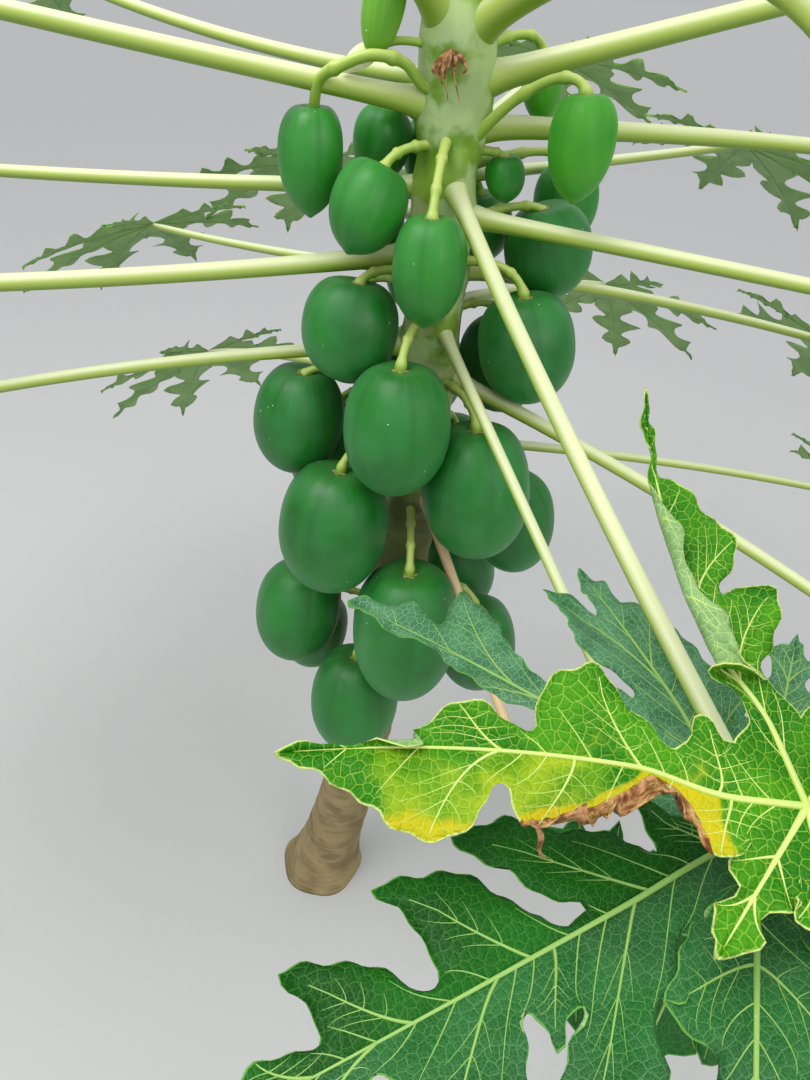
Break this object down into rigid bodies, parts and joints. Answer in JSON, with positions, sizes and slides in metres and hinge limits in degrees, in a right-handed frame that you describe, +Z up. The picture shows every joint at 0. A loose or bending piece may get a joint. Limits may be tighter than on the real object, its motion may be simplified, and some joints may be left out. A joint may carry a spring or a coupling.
{
  "type": "papaya tree",
  "caption": "Whole papaya tree with a leaning ringed trunk, hanging green fruit round it, and large lobed leaves on long hollow stalks that stand out on all sides.",
  "frame": {"origin": "centre of the flat cut under the trunk, at ground level", "axes": "+Z up; -Y towards the viewer of the picture; +X to that viewer's right, the way the trunk leans"},
  "size_m": [2.1409, 1.9139, 1.992],
  "materials": {
    "bark": "dull grey-brown bark with leaf scars, turning waxy green towards the tip",
    "leaf": "soft matt green blade with pale veins, on a smooth pale green stalk",
    "fruit": "smooth green skin with a thin grey wax bloom and pale latex drips",
    "dry_stalk": "dead, dry and pale brown"
  },
  "bodies": {
    "root": {"trunk": "bark", "leaf_01": "leaf", "leaf_02": "leaf", "leaf_03": "leaf", "leaf_04": "leaf", "leaf_05": "leaf", "leaf_06": "leaf", "leaf_07": "leaf", "leaf_08": "leaf", "leaf_09": "leaf", "leaf_10": "leaf", "leaf_11": "leaf", "leaf_12": "leaf", "leaf_13": "leaf", "leaf_14": "leaf", "leaf_15": "leaf", "leaf_16": "leaf", "leaf_17": "leaf", "leaf_18": "leaf", "leaf_19": "leaf", "leaf_20": "leaf", "leaf_21": "leaf", "leaf_22": "leaf", "leaf_23": "leaf", "leaf_24": "leaf", "fruit_01": "fruit", "fruit_02": "fruit", "fruit_03": "fruit", "fruit_04": "fruit", "fruit_05": "fruit", "fruit_06": "fruit", "fruit_07": "fruit", "fruit_08": "fruit", "fruit_09": "fruit", "fruit_10": "fruit", "fruit_11": "fruit", "fruit_12": "fruit", "fruit_13": "fruit", "fruit_14": "fruit", "fruit_15": "fruit", "fruit_16": "fruit", "fruit_17": "fruit", "fruit_18": "fruit", "fruit_19": "fruit", "fruit_20": "fruit", "fruit_21": "fruit", "fruit_22": "fruit", "fruit_23": "fruit", "fruit_24": "fruit", "fruit_25": "fruit", "fruit_26": "fruit", "fruit_27": "fruit", "fruit_28": "fruit", "fruit_29": "fruit", "fruit_30": "fruit", "fruit_31": "fruit", "fruit_32": "fruit", "fruit_33": "fruit", "dry_stalk": "dry_stalk", "young_leaves": "leaf"}
  },
  "joints": []
}
